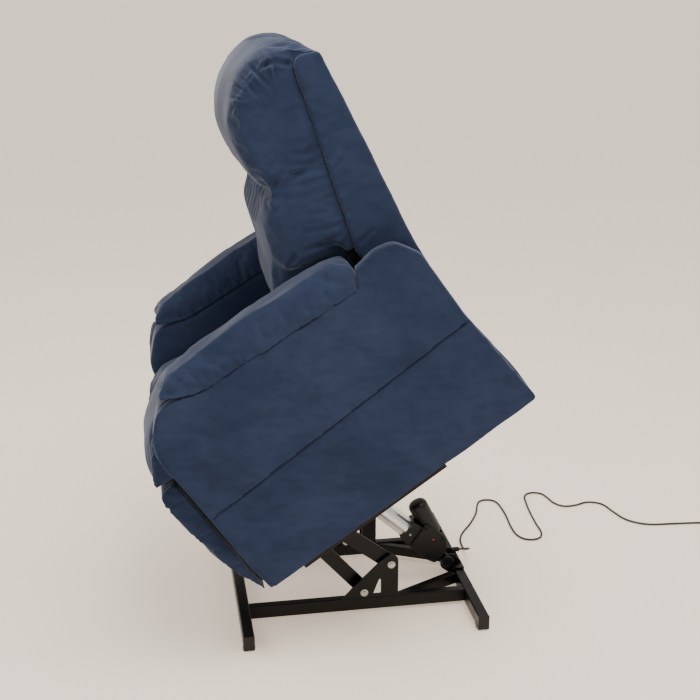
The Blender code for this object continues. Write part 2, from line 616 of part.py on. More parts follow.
# The points that the cord passes, in the base's frame: from its sleeve down to the floor, then along it.
CORD_DROP = [
    (-0.0445, 0.6565, 0.0560), (-0.0448, 0.6630, 0.0556), (-0.0545, 0.6830, 0.0500), (-0.0775, 0.6925, 0.0375),
    (-0.1035, 0.6930, 0.0220), (-0.1295, 0.6930, 0.0092), (-0.1555, 0.6940, 0.0040),
]
CORD_FLOOR = [
    (-0.2000, 0.6990), (-0.2450, 0.7180), (-0.3050, 0.7590), (-0.3750, 0.7970), (-0.4535, 0.8264),
    (-0.4695, 0.8493), (-0.4623, 0.8762), (-0.4370, 0.8880), (-0.3530, 0.8890), (-0.2630, 0.8810),
    (-0.2050, 0.8825), (-0.1704, 0.9025), (-0.1704, 0.9425), (-0.2050, 0.9625), (-0.2720, 0.9660),
    (-0.3670, 0.9740), (-0.4300, 0.9830), (-0.4760, 0.9930), (-0.4985, 1.0200), (-0.4865, 1.0528),
    (-0.4520, 1.0640), (-0.4100, 1.0720), (-0.3800, 1.0950), (-0.3800, 1.1350), (-0.3960, 1.1850),
    (-0.3740, 1.2250), (-0.3120, 1.2410), (-0.2480, 1.2620), (-0.2080, 1.3130), (-0.1980, 1.3930),
    (-0.1910, 1.4730), (-0.1757, 1.5520),
]
COIL_CENTRE = (-0.1275, 1.5780)
PLUG_AT = (-0.0360, 1.6215)


def smooth_path(points, spacing):
    """Points along a smooth curve through the given ones, evenly spaced."""
    knots = [Vector(p) for p in points]
    fine = [knots[0]]
    for i in range(len(knots) - 1):
        before = knots[max(i - 1, 0)]
        after = knots[min(i + 2, len(knots) - 1)]
        a, b = knots[i], knots[i + 1]
        reach = (b - a).length / 3
        leave = (b - before).normalized() * reach
        arrive = (after - a).normalized() * reach
        fine.extend(interpolate_bezier(a, a + leave, b - arrive, b, 25)[1:])
    total = sum((b - a).length for a, b in zip(fine, fine[1:]))
    count = round(total / spacing)
    step, travelled, path = total / count, 0.0, [fine[0]]
    for a, b in zip(fine, fine[1:]):
        length = (b - a).length
        while len(path) * step <= travelled + length + 1e-9 and len(path) < count:
            path.append(a.lerp(b, (len(path) * step - travelled) / length))
        travelled += length
    path.append(fine[-1])
    return path


def cord(base):
    """The lead from the sleeve on the motor's clevis: the loose run, the coiled rest and the plug."""
    floor = CORD_D / 2 + GAP
    path = smooth_path(CORD_DROP + [(*point, floor) for point in CORD_FLOOR], 0.0245)
    curve = bpy.data.curves.new("cord_run", "CURVE")
    curve.dimensions = "3D"
    curve.bevel_depth = CORD_D / 2
    curve.bevel_resolution = 2
    curve.use_fill_caps = True
    spline = curve.splines.new("POLY")
    spline.points.add(len(path) - 1)
    for point, place in zip(spline.points, path):
        point.co = (*place, 1.0)
    curve.materials.append(CORD)
    run = bpy.data.objects.new("cord_run", curve)
    bpy.context.scene.collection.objects.link(run)
    run.parent = base
    coil(base)
    plug(base)


def coil(base):
    """The space of the wound-up rest of the cord: a ring of its outer shape."""
    half_width, height = 1.6 * CORD_D, 2.1 * CORD_D
    inner, outer = COIL_TURN_R - half_width, COIL_TURN_R + half_width
    corner = CORD_D / 2
    profile = fillet([(inner, GAP, corner), (outer, GAP, corner), (outer, height, corner), (inner, height, corner)], 3)
    sides = 32
    bm = bmesh.new()
    rings = []
    for k in range(sides):
        angle = 2 * math.pi * k / sides
        along = Vector((math.cos(angle), math.sin(angle)))
        rings.append([bm.verts.new((*(Vector(COIL_CENTRE) + r * along), z)) for r, z in profile])
    for k in range(sides):
        here, there = rings[k], rings[(k + 1) % sides]
        for i in range(len(profile)):
            j = (i + 1) % len(profile)
            bm.faces.new((here[i], here[j], there[j], there[i]))
    add("cord_coil", bm, CORD, base)


def plug(base):
    """A flat two-pin plug lying beside the coil, its pins towards +X."""
    x, y = PLUG_AT
    height = 0.0150
    middle = height / 2
    body = add("plug", box((x - 0.018, x + 0.018), (y - 0.012, y + 0.012), (GAP, height), 0.003), PLASTIC, base)
    join(
        body,
        turned([(x - 0.034, 0.0040), (x - 0.017, 0.0060)], (y, middle), 14),
        *(rod(x + 0.016, x + 0.034, 0.0020, (y + across, middle), 12) for across in (-0.0065, 0.0065)),
    )


# ---------------------------------------------------------------- assembly

def main():
    clear_scene()
    base = empty("lift_base", None, (MID_X, BASE_Y, 0))
    body = empty("seat_body", base, (0, BODY_Y, BODY_Z), BODY_TILT)
    crossbars(base)
    rails(base)
    lift_brackets(base)
    base_bolts(base)
    motor_mount(base)
    lift_links(base)
    chassis(body)
    arms(body)
    seat(body)
    backrest(body)
    footrest(body)
    actuator(base)
    hand_control(body)
    cord(base)


main()
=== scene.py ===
"""Looks of the powered lift recliner: upholstery, finishes of its hard parts, and the power cord."""

import json
import math

import bmesh
import bpy
import numpy as np
from mathutils import Matrix, Vector
from mathutils.bvhtree import BVHTree
from mathutils.geometry import interpolate_bezier


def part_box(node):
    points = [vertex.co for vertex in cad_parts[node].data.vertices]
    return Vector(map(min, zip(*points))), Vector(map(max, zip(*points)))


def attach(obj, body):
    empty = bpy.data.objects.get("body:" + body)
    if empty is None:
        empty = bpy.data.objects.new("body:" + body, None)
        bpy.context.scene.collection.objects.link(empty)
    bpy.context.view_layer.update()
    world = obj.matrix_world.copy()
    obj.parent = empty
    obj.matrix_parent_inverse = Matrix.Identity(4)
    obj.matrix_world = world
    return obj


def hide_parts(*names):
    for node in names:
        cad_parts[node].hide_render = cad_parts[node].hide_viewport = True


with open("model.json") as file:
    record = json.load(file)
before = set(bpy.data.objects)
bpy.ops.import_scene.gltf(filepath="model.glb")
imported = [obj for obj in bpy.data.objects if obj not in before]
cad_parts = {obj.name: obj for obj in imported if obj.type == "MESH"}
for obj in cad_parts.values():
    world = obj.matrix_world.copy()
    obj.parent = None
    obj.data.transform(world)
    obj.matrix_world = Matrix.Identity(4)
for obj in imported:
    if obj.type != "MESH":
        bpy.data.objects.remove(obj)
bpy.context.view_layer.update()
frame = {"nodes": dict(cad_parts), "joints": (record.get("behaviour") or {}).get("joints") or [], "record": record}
nodes = frame["nodes"]
joints = {j["name"]: j for j in frame["joints"]}

# The seat body's own frame: s runs to the rear along the seat, t runs up the back.
# The hinges of the footrest and of the back lie at one t.
FOOT_PIVOT = (0.030, 0.200)
hinge_front = Vector(joints["footrest_extend"]["pos_m"])
hinge_rear = Vector(joints["recline"]["pos_m"])
s_axis = (hinge_rear - hinge_front).normalized()
t_axis = Vector((1, 0, 0)).cross(s_axis)
MIDDLE = hinge_front.x
origin = hinge_front - FOOT_PIVOT[0] * s_axis - FOOT_PIVOT[1] * t_axis
BODY = Matrix.Translation(origin) @ Matrix(((1, 0, 0), s_axis, t_axis)).transposed().to_4x4()

LEFT, RIGHT = 1, -1


# ---------------------------------------------------------------- camera and cord

def camera():
    """Seen from the sitter's left, a little from the front and from above."""
    data = bpy.data.cameras.new("Camera")
    data.lens = 61.74
    data.sensor_width = 36
    obj = bpy.data.objects.new("Camera", data)
    bpy.context.scene.collection.objects.link(obj)
    obj.location = (3.0627, -0.4432, 1.7049)
    turn, down = math.radians(9.611), math.radians(17.891)
    forward = Vector((-math.cos(turn) * math.cos(down), math.sin(turn) * math.cos(down), -math.sin(down)))
    obj.rotation_mode = "QUATERNION"
    obj.rotation_quaternion = forward.to_track_quat("-Z", "Y")
    bpy.context.scene.camera = obj


CORD_D = 0.0065
COIL_TURN_R = 0.037
# The cord's route in the lift base's frame, whose origin is the middle of the front crossbar.
CORD_DROP = [
    (-0.0445, 0.6565, 0.0560), (-0.0448, 0.6630, 0.0556), (-0.0545, 0.6830, 0.0500),
    (-0.0775, 0.6925, 0.0375), (-0.1035, 0.6930, 0.0220), (-0.1295, 0.6930, 0.0092),
    (-0.1555, 0.6940, 0.0040),
]
CORD_FLOOR = [
    (-0.2000, 0.6990), (-0.2450, 0.7180), (-0.3050, 0.7590), (-0.3750, 0.7970), (-0.4535, 0.8264),
    (-0.4695, 0.8493), (-0.4623, 0.8762), (-0.4370, 0.8880), (-0.3530, 0.8890), (-0.2630, 0.8810),
    (-0.2050, 0.8825), (-0.1704, 0.9025), (-0.1704, 0.9425), (-0.2050, 0.9625), (-0.2720, 0.9660),
    (-0.3670, 0.9740), (-0.4300, 0.9830), (-0.4760, 0.9930), (-0.4985, 1.0200), (-0.4865, 1.0528),
    (-0.4520, 1.0640), (-0.4100, 1.0720), (-0.3800, 1.0950), (-0.3800, 1.1350), (-0.3960, 1.1850),
    (-0.3740, 1.2250), (-0.3120, 1.2410), (-0.2480, 1.2620), (-0.2080, 1.3130), (-0.1980, 1.3930),
    (-0.1910, 1.4730), (-0.1757, 1.5520),
]
COIL_CENTRE = (-0.1275, 1.5780)
PLUG_ENTRY = (-0.0705, 1.6215, 0.0075)


def smooth_path(points, spacing):
    """Points along a smooth curve through the given ones, evenly spaced."""
    knots = [Vector(p) for p in points]
    fine = [knots[0]]
    for i in range(len(knots) - 1):
        before = knots[max(i - 1, 0)]
        after = knots[min(i + 2, len(knots) - 1)]
        a, b = knots[i], knots[i + 1]
        reach = (b - a).length / 3
        leave = (b - before).normalized() * reach
        arrive = (after - a).normalized() * reach
        fine.extend(interpolate_bezier(a, a + leave, b - arrive, b, 25)[1:])
    total = sum((b - a).length for a, b in zip(fine, fine[1:]))
    count = round(total / spacing)
    step, travelled, path = total / count, 0.0, [fine[0]]
    for a, b in zip(fine, fine[1:]):
        length = (b - a).length
        while len(path) * step <= travelled + length + 1e-9 and len(path) < count:
            path.append(a.lerp(b, (len(path) * step - travelled) / length))
        travelled += length
    path.append(fine[-1])
    return path


def coil_points(floor, turns):
    """Clockwise turns, winding inwards on the floor and back out on top of them, to end at the far side."""
    points = []
    per_turn = 24
    count = round(turns * per_turn)
    low, high = floor, floor + CORD_D * 1.02
    for k in range(count + 1):
        share = k / count
        angle = math.pi - 2 * math.pi * turns * share
        inward = 1 - abs(2 * share - 1)
        radius = COIL_TURN_R + CORD_D * 1.05 * (1 - 2 * inward)
        rise = min(max((share - 0.46) / 0.08, 0), 1)
        x = COIL_CENTRE[0] + radius * math.cos(angle)
        y = COIL_CENTRE[1] + radius * math.sin(angle)
        points.append((x, y, low + (high - low) * rise * rise * (3 - 2 * rise)))
    return points


def coil_tie(base):
    """A narrow strap over the coil, its ends tucked under the turns."""
    outer = [(-0.0114, 0.0004), (-0.0114, 0.0118), (-0.0088, 0.0148), (0.0088, 0.0148), (0.0114, 0.0118),
             (0.0114, 0.0004)]
    inner = [(0.0104, 0.0004), (0.0104, 0.0116), (0.0084, 0.0139), (-0.0084, 0.0139), (-0.0104, 0.0116),
             (-0.0104, 0.0004)]
    half_width = 0.0035
    bm = bmesh.new()
    ends = [[bm.verts.new((r, across, z)) for r, z in outer + inner] for across in (-half_width, half_width)]
    count = len(outer)
    for k in range(count - 1):
        quad = (k, k + 1, 2 * count - 2 - k, 2 * count - 1 - k)
        bm.faces.new([ends[0][i] for i in quad])
        bm.faces.new([ends[1][i] for i in reversed(quad)])
    for k in range(2 * count):
        j = (k + 1) % (2 * count)
        bm.faces.new((ends[0][j], ends[0][k], ends[1][k], ends[1][j]))
    turn = Matrix.Rotation(math.radians(-45), 4, "Z")
    place = base @ Matrix.Translation((*COIL_CENTRE, 0)) @ turn @ Matrix.Translation((COIL_TURN_R, 0, 0))
    return mesh_piece("coil_tie", bm, place, "lift_base", METAL["plastic"])


def cord():
    base = Matrix.Translation((MIDDLE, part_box("crossbar_front")[0].y + 0.015, 0))
    floor = CORD_D / 2 + 0.0003
    turns = 4.25
    coil = coil_points(floor, turns)
    route = CORD_DROP + [(*p, floor) for p in CORD_FLOOR[:-1]] + coil + [PLUG_ENTRY]
    path = [base @ p for p in smooth_path(route, 0.0150)]
    data = bpy.data.curves.new("power_cord", "CURVE")
    data.dimensions = "3D"
    data.bevel_depth = CORD_D / 2
    data.bevel_resolution = 3
    data.use_fill_caps = True
    spline = data.splines.new("POLY")
    spline.points.add(len(path) - 1)
    for point, place in zip(spline.points, path):
        point.co = (*place, 1)
    obj = bpy.data.objects.new("power_cord", data)
    bpy.context.scene.collection.objects.link(obj)
    data.materials.append(rubber())
    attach(obj, "lift_base")
    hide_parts("cord_run", "cord_coil")
    coil_tie(base)


# ---------------------------------------------------------------- materials

class Shader:
    """A Principled material and short names for the nodes that its finish needs."""

    def __init__(self, name, colour, roughness, metallic=0.0):
        self.material = bpy.data.materials.new(name)
        self.material.use_nodes = True
        self.tree = self.material.node_tree
        self.surface = self.tree.nodes["Principled BSDF"]
        self.set("Base Color", (*colour, 1))
        self.set("Roughness", roughness)
        self.set("Metallic", metallic)
        self.place = self.tree.nodes.new("ShaderNodeTexCoord").outputs["Object"]

    def set(self, socket, value):
        self.surface.inputs[socket].default_value = value

    def link(self, output, node, socket):
        self.tree.links.new(output, node.inputs[socket])

    def noise(self, scale, detail=3.0, stretch=(1, 1, 1), distortion=0.0):
        mapping = self.tree.nodes.new("ShaderNodeMapping")
        mapping.inputs["Scale"].default_value = stretch
        self.link(self.place, mapping, "Vector")
        texture = self.tree.nodes.new("ShaderNodeTexNoise")
        texture.inputs["Scale"].default_value = scale
        texture.inputs["Detail"].default_value = detail
        texture.inputs["Distortion"].default_value = distortion
        self.link(mapping.outputs[0], texture, "Vector")
        return texture.outputs["Fac"]

    def ramp(self, value, *stops):
        """Maps a value to colours: each stop is (position, colour)."""
        node = self.tree.nodes.new("ShaderNodeValToRGB")
        ramp = node.color_ramp
        while len(ramp.elements) < len(stops):
            ramp.elements.new(0.5)
        for element, (position, colour) in zip(ramp.elements, stops):
            element.position = position
            element.color = (*colour, 1)
        self.link(value, node, "Fac")
        return node.outputs["Color"]

    def mix(self, factor, a, b, blend="MIX"):
        node = self.tree.nodes.new("ShaderNodeMix")
        node.data_type = "RGBA"
        node.blend_type = blend
        if isinstance(factor, float):
            node.inputs["Factor"].default_value = factor
        else:
            self.link(factor, node, "Factor")
        self.link(a, node, 6)
        self.link(b, node, 7)
        return node.outputs[2]

    def bump(self, *layers):
        """Stacks bump layers, each (height, strength, distance in metres)."""
        last = None
        for height, strength, distance in layers:
            node = self.tree.nodes.new("ShaderNodeBump")
            node.inputs["Strength"].default_value = strength
            node.inputs["Distance"].default_value = distance
            self.link(height, node, "Height")
            if last:
                self.link(last, node, "Normal")
            last = node.outputs["Normal"]
        self.link(last, self.surface, "Normal")


def microfibre():
    """Brushed navy microfibre: nap that was stroked both ways, fine fibres and a pale sheen."""
    shader = Shader("navy_microfibre", (0.034, 0.050, 0.102), 0.90)
    clouds = shader.noise(3.2, 3.0, (1.0, 1.0, 1.0), 0.4)
    smudges = shader.noise(11.0, 6.0, (1.0, 0.75, 1.25), 0.6)
    brushing = shader.noise(48.0, 4.0, (1.0, 0.45, 1.0), 0.5)
    fibre = shader.noise(1500, 2.0)
    base = shader.ramp(clouds, (0.30, (0.020, 0.032, 0.073)), (0.70, (0.029, 0.044, 0.093)))
    strokes = shader.ramp(smudges, (0.30, (0.72, 0.74, 0.78)), (0.56, (1.0, 1.0, 1.0)))
    hatching = shader.ramp(brushing, (0.34, (0.80, 0.81, 0.84)), (0.60, (1.0, 1.0, 1.0)))
    speckle = shader.ramp(fibre, (0.30, (0.82, 0.82, 0.82)), (0.70, (1.0, 1.0, 1.0)))
    toned = shader.mix(0.80, base, strokes, "MULTIPLY")
    toned = shader.mix(0.75, toned, hatching, "MULTIPLY")
    shader.link(shader.mix(0.7, toned, speckle, "MULTIPLY"), shader.surface, "Base Color")
    shader.set("Sheen Weight", 0.32)
    shader.set("Sheen Roughness", 0.40)
    shader.set("Sheen Tint", (0.66, 0.72, 0.84, 1))
    shader.set("Specular IOR Level", 0.12)
    creases = shader.noise(30, 3.0)
    pile = shader.noise(420, 2.0)
    shader.bump((creases, 0.30, 0.0012), (pile, 0.22, 0.0004), (fibre, 0.3, 0.0002))
    return shader.material


def thread():
    shader = Shader("sewing_thread", (0.020, 0.036, 0.080), 0.60)
    twist = shader.noise(2600, 1.0)
    shader.bump((twist, 0.4, 0.0001))
    return shader.material


def painted_steel():
    """Satin black powder coat with a faint orange peel, rubbed where it was handled."""
    shader = Shader("black_painted_steel", (0.003, 0.003, 0.003), 0.34)
    tone = shader.ramp(shader.noise(9, 3.0), (0.3, (0.0018, 0.0016, 0.0015)), (0.7, (0.0040, 0.0034, 0.0030)))
    shader.link(tone, shader.surface, "Base Color")
    shader.link(shader.ramp(shader.noise(30, 4.0), (0.3, (0.26,) * 3), (0.75, (0.42,) * 3)),
                shader.surface, "Roughness")
    shader.set("Specular IOR Level", 0.20)
    shader.bump((shader.noise(520, 2.0), 0.20, 0.0003))
    return shader.material


def zinc():
    shader = Shader("zinc_plated_steel", (0.50, 0.50, 0.48), 0.34, 1.0)
    shader.link(shader.ramp(shader.noise(160, 4.0), (0.3, (0.28,) * 3), (0.7, (0.46,) * 3)),
                shader.surface, "Roughness")
    shader.bump((shader.noise(700, 2.0), 0.12, 0.0002))
    return shader.material


def aluminium():
    shader = Shader("brushed_aluminium", (0.70, 0.71, 0.72), 0.32, 1.0)
    shader.link(shader.ramp(shader.noise(60, 3.0), (0.3, (0.26,) * 3), (0.7, (0.38,) * 3)),
                shader.surface, "Roughness")
    shader.bump((shader.noise(900, 2.0, (1, 0.1, 0.1)), 0.10, 0.0002))
    return shader.material


def plastic(name, colour, roughness=0.5):
    shader = Shader(name, colour, roughness)
    shader.set("Specular IOR Level", 0.30)
    darker = tuple(0.8 * c for c in colour)
    tone = shader.ramp(shader.noise(14, 3.0), (0.3, darker), (0.7, colour))
    shader.link(tone, shader.surface, "Base Color")
    shader.bump((shader.noise(1400, 2.0), 0.25, 0.0002))
    return shader.material


def rubber():
    shader = Shader("cord_rubber", (0.016, 0.016, 0.017), 0.50)
    shader.link(shader.ramp(shader.noise(40, 2.0), (0.3, (0.013,) * 3), (0.7, (0.024,) * 3)),
                shader.surface, "Base Color")
    shader.bump((shader.noise(600, 2.0), 0.15, 0.0002))
    return shader.material


def lined_board():
    """Board under thin black non-woven lining."""
    shader = Shader("black_lined_board", (0.010, 0.010, 0.012), 0.92)
    web = shader.noise(700, 3.0)
    shader.link(shader.ramp(web, (0.35, (0.006, 0.006, 0.008)), (0.65, (0.016, 0.016, 0.019))),
                shader.surface, "Base Color")
    shader.bump((web, 0.4, 0.0003))
    return shader.material


def clear_plastic():
    shader = Shader("clear_glide", (0.75, 0.74, 0.70), 0.30)
    shader.link(shader.ramp(shader.noise(60, 2.0), (0.3, (0.66, 0.65, 0.61)), (0.7, (0.82, 0.81, 0.78))),
                shader.surface, "Base Color")
    shader.set("Transmission Weight", 0.35)
    shader.bump((shader.noise(900, 2.0), 0.10, 0.0002))
    return shader.material


def red_lamp():
    shader = Shader("red_lens", (0.35, 0.010, 0.010), 0.25)
    shader.link(shader.ramp(shader.noise(200, 2.0), (0.3, (0.26, 0.006, 0.006)), (0.7, (0.42, 0.015, 0.012))),
                shader.surface, "Base Color")
    return shader.material


# ---------------------------------------------------------------- mesh tools

def get_points(mesh, what="vertices", attribute="co"):
    items = getattr(mesh, what)
    flat = np.empty(len(items) * 3, np.float32)
    items.foreach_get(attribute, flat)
    return flat.reshape(-1, 3).astype(float)


def set_points(mesh, points):
    mesh.vertices.foreach_set("co", points.astype(np.float32).ravel())
    mesh.update()


def link(name, mesh):
    obj = bpy.data.objects.new(name, mesh)
    bpy.context.scene.collection.objects.link(obj)
    return obj


def settle(piece):
    """Applies the piece's modifiers."""
    depsgraph = bpy.context.evaluated_depsgraph_get()
    mesh = bpy.data.meshes.new_from_object(piece.evaluated_get(depsgraph))
    old = piece.data
    piece.modifiers.clear()
    piece.data = mesh
    bpy.data.meshes.remove(old)


def solid_of(name, sources):
    """One mesh of CAD solids, in the seat body's frame."""
    bm = bmesh.new()
    for source in sources:
        bm.from_mesh(nodes[source].data)
    bmesh.ops.remove_doubles(bm, verts=bm.verts, dist=1e-6)
    bmesh.ops.transform(bm, matrix=BODY.inverted(), verts=bm.verts)
    mesh = bpy.data.meshes.new(name)
    bm.to_mesh(mesh)
    bm.free()
    return link(name, mesh)


def add_block(piece, x, s, t):
    """Adds a block to a mesh that is about to be remeshed into one form."""
    bm = bmesh.new()
    bm.from_mesh(piece.data)
    place = Matrix.Translation((sum(x) / 2, sum(s) / 2, sum(t) / 2)) @ Matrix.Diagonal(
        (x[1] - x[0], s[1] - s[0], t[1] - t[0], 1))
    bmesh.ops.create_cube(bm, size=1, matrix=place)
    bm.to_mesh(piece.data)
    bm.free()


def remesh(piece, voxel, rounding, inset, plump=None):
    """Even quads, with edges rounded by smoothing, and the surface drawn in to leave room for the filling.

    Where the plump function gives 1, the form is rounded much more than at its seams.
    """
    block = piece.modifiers.new("Remesh", "REMESH")
    block.mode = "VOXEL"
    block.voxel_size = voxel
    settle(piece)
    if plump:
        weigh(piece, "plump", plump(get_points(piece.data)))
        swell = piece.modifiers.new("Plump", "SMOOTH")
        swell.factor = 0.5
        swell.iterations = 90
        swell.vertex_group = "plump"
    smooth = piece.modifiers.new("Smooth", "SMOOTH")
    smooth.factor = 0.5
    smooth.iterations = rounding
    settle(piece)
    points = get_points(piece.data)
    set_points(piece.data, points - get_points(piece.data, "vertices", "normal") * inset)


def weigh(piece, name, weights):
    """A vertex group from weights between 0 and 1, in steps of a tenth."""
    group = piece.vertex_groups.new(name=name)
    tenths = np.round(np.clip(weights, 0, 1) * 10).astype(int)
    for tenth in range(1, 11):
        group.add(np.flatnonzero(tenths == tenth).tolist(), tenth / 10, "REPLACE")


def inflate(piece, held, pressure, cap, stiffness=12.0):
    """Blows the skin up as cloth, holding the points that the mask picks, and no point goes beyond the cap."""
    start = get_points(piece.data)
    weigh(piece, "held", held(start))
    cloth = piece.modifiers.new("Cloth", "CLOTH")
    settings = cloth.settings
    settings.quality = 4
    settings.mass = 0.25
    settings.tension_stiffness = stiffness
    settings.compression_stiffness = stiffness
    settings.shear_stiffness = stiffness / 3
    settings.bending_stiffness = 0.6
    settings.use_pressure = True
    settings.uniform_pressure_force = pressure
    settings.shrink_min = -0.03
    settings.vertex_group_mass = "held"
    settings.effector_weights.gravity = 0
    cloth.collision_settings.use_collision = False
    scene = bpy.context.scene
    cloth.point_cache.frame_start = 1
    cloth.point_cache.frame_end = 20
    for number in range(1, 21):
        scene.frame_set(number)
    settle(piece)
    scene.frame_set(1)
    moved = get_points(piece.data) - start
    length = np.linalg.norm(moved, axis=1)
    moved *= np.minimum(1, cap / np.maximum(length, 1e-9))[:, None]
    set_points(piece.data, start + moved)


def refine(piece, smooth=0):
    if smooth:
        soften = piece.modifiers.new("Smooth", "SMOOTH")
        soften.iterations = smooth
    finer = piece.modifiers.new("Finer", "SUBSURF")
    finer.levels = finer.render_levels = 1
    settle(piece)


def path_distance(points, path):
    """Distance of each point from a path, and how far along the path its nearest place is."""
    path = np.array(path, float)
    best = np.full(len(points), 1e9)
    along = np.zeros(len(points))
    travelled = 0.0
    for a, b in zip(path, path[1:]):
        d = b - a
        length = np.linalg.norm(d)
        share = np.clip((points - a) @ d / length**2, 0, 1)
        distance = np.linalg.norm(points - a - share[:, None] * d, axis=1)
        nearer = distance < best
        best[nearer] = distance[nearer]
        along[nearer] = travelled + share[nearer] * length
        travelled += length
    return best, along, travelled


def crease(piece, path, width, depth, taper=True):
    """Presses a path into the surface. It is deepest in its middle if it tapers."""
    points = get_points(piece.data)
    distance, along, total = path_distance(points, path)
    amount = depth * (np.exp(-((distance / width) ** 2)) - 0.30 * np.exp(-((distance / width - 2.1) ** 2)))
    if taper:
        amount *= np.sin(np.pi * np.clip(along / total, 0.02, 0.98)) ** 0.7
    set_points(piece.data, points - get_points(piece.data, "vertices", "normal") * amount[:, None])


def pucker(piece, path, reach, depth, pitch, seed):
    """Gathers along a seam: small folds square to it that fade over the reach."""
    points = get_points(piece.data)
    distance, along, total = path_distance(points, path)
    random = np.random.default_rng(seed)
    phases = random.uniform(0, 2 * np.pi, 3)
    wave = sum(np.sin(2 * np.pi * along / (pitch * k) + p) for k, p in zip((0.8, 1.3, 2.1), phases)) / 2
    fade = np.exp(-((distance / reach) ** 2)) * np.clip(distance / (0.25 * reach), 0.25, 1)
    ends = np.clip(np.minimum(along, total - along) / (2 * pitch), 0, 1)
    amount = depth * wave * fade * ends
    set_points(piece.data, points + get_points(piece.data, "vertices", "normal") * amount[:, None])


def undulate(piece, size, depth, seed):
    """Slow unevenness of stuffing under the cloth."""
    random = np.random.default_rng(seed)
    points = get_points(piece.data)
    amount = np.zeros(len(points))
    for _ in range(7):
        direction = random.normal(size=3)
        direction *= 2 * np.pi / (size * random.uniform(0.7, 1.6) * np.linalg.norm(direction))
        amount += np.sin(points @ direction + random.uniform(0, 2 * np.pi))
    amount *= depth / 3
    set_points(piece.data, points + get_points(piece.data, "vertices", "normal") * amount[:, None])


def surface_tree(piece):
    points = [Vector(p) for p in get_points(piece.data)]
    return BVHTree.FromPolygons(points, [tuple(p.vertices) for p in piece.data.polygons])


def laid_on(piece, path, spacing):
    """Points along a path, dropped onto the piece's surface, each with its normal."""
    tree = surface_tree(piece)
    laid = []
    for point in smooth_path(path, spacing):
        place, normal, _, _ = tree.find_nearest(point)
        laid.append((place, normal))
    return laid


def stitches(name, piece, path, pitch=0.0065, length=0.0042):
    """A row of sewn stitches along a path on a piece's surface."""
    bm = bmesh.new()
    laid = laid_on(piece, path, pitch)
    for (here, normal), (there, _) in zip(laid, laid[1:]):
        along = (there - here).normalized()
        side = normal.cross(along).normalized()
        middle = (here + there) / 2 + normal * 0.0002
        turn = Matrix((along, side, normal)).transposed().to_4x4()
        size = Matrix.Diagonal((length / 2, 0.00055, 0.00045, 1))
        place = Matrix.Translation(middle) @ turn @ size
        bmesh.ops.create_icosphere(bm, subdivisions=1, radius=1, matrix=place)
    mesh = bpy.data.meshes.new(name)
    bm.to_mesh(mesh)
    bm.free()
    return link(name, mesh)


def piping(name, piece, path, radius, sink=0.3):
    """A round welt along a path on a piece's surface."""
    data = bpy.data.curves.new(name, "CURVE")
    data.dimensions = "3D"
    data.bevel_depth = radius
    data.bevel_resolution = 3
    data.use_fill_caps = True
    laid = laid_on(piece, path, 0.008)
    spline = data.splines.new("POLY")
    spline.points.add(len(laid) - 1)
    for point, (place, normal) in zip(spline.points, laid):
        point.co = (*(place + normal * radius * (1 - 2 * sink)), 1)
    welt = link(name, data)
    mesh = bpy.data.meshes.new_from_object(welt.evaluated_get(bpy.context.evaluated_depsgraph_get()))
    bpy.data.objects.remove(welt)
    return link(name, mesh)


def mirrored(piece, name):
    """A copy on the other side of the chair."""
    mesh = piece.data.copy()
    points = get_points(mesh)
    points[:, 0] *= -1
    set_points(mesh, points)
    mesh.flip_normals()
    return link(name, mesh)


def into_place(piece, body, material):
    """Moves a piece from the seat body's frame to the world, gives it its finish and sets it on its body."""
    piece.data.transform(BODY)
    piece.data.materials.clear()
    piece.data.materials.append(material)
    piece.data.shade_smooth()
    piece.vertex_groups.clear()
    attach(piece, body)
    return piece


def upholster(piece, body, fill, *replaced):
    into_place(piece, body, FABRIC)
    if replaced:
        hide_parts(*replaced)
    return piece


# ---------------------------------------------------------------- upholstery

FABRIC = microfibre()
THREAD = thread()
SIDE_OUT, SIDE_IN, ARM_IN = 0.384, 0.350, 0.247
SEAM = ((0.0, 0.2485), (0.790, 0.2770))     # the side panel's seam, front to rear, in (s, t)
FRONT_EDGE = [(0.006, 0.004), (0.000, 0.140), (0.000, 0.330), (-0.004, 0.420), (0.010, 0.478), (0.040, 0.524),
              (0.070, 0.548)]
WING_EDGE = [(0.644, 0.5335), (0.700, 0.5440), (0.745, 0.5335), (0.772, 0.5000), (0.7765, 0.4600),
             (0.7765, 0.3300), (0.782, 0.2850)]
REAR_LINE = (0.6668, 0.542, 0.2928)         # the front of the back's cover: s and t of a point, and its slope


def rear_of(t):
    """s of the back's gusset seam at a height t."""
    return REAR_LINE[0] + REAR_LINE[2] * (t - REAR_LINE[1])


def smoothstep(value, low, high):
    share = np.clip((value - low) / (high - low), 0, 1)
    return share * share * (3 - 2 * share)


def both_sides(name, piece, body, material):
    """Places a left piece of trim and its mirror image."""
    into_place(mirrored(piece, f"{name}_right"), body, material)
    into_place(piece, body, material)


def lapped_seam(piece, outside):
    """The upper cloth laps over the lower along the side panel's seam, with a sharp shadow line below it."""
    a, b = np.array(SEAM[0]), np.array(SEAM[1])
    along = (b - a) / np.linalg.norm(b - a)
    points = get_points(piece.data)
    height = (points[:, 2] - a[1]) * along[0] - (points[:, 1] - a[0]) * along[1]
    lap = 0.0020 * np.exp(-np.abs(height) / 0.018) * np.sign(height)
    groove = 0.0060 * np.exp(-((height + 0.0015) / 0.0026) ** 2)
    points[:, 0] += (lap - groove) * (points[:, 0] > outside - 0.012)
    set_points(piece.data, points)


